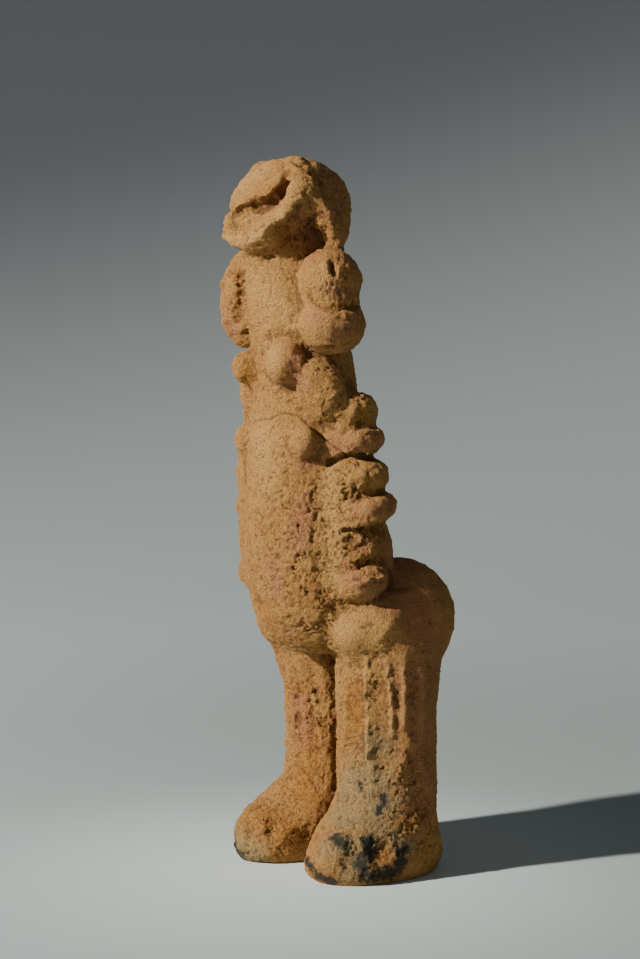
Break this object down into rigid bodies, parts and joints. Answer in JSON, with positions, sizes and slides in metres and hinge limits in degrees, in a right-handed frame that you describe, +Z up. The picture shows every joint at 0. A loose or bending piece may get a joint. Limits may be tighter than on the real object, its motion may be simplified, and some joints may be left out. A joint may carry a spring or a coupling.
{
  "type": "terracotta figure",
  "caption": "Hand-modelled standing figure of fired clay with an upturned face, rolls along its arms and ridged shins.",
  "frame": {"origin": "middle of the figure's bounding box in plan, at the height of its soles", "axes": "+Z up, the figure faces -Y, and its left side is at +X"},
  "size_m": [0.0776, 0.0744, 0.244],
  "materials": {
    "terracotta": "matte, gritty, pale crust over orange-brown clay"
  },
  "bodies": {
    "root": {"figure": "terracotta"}
  },
  "joints": []
}
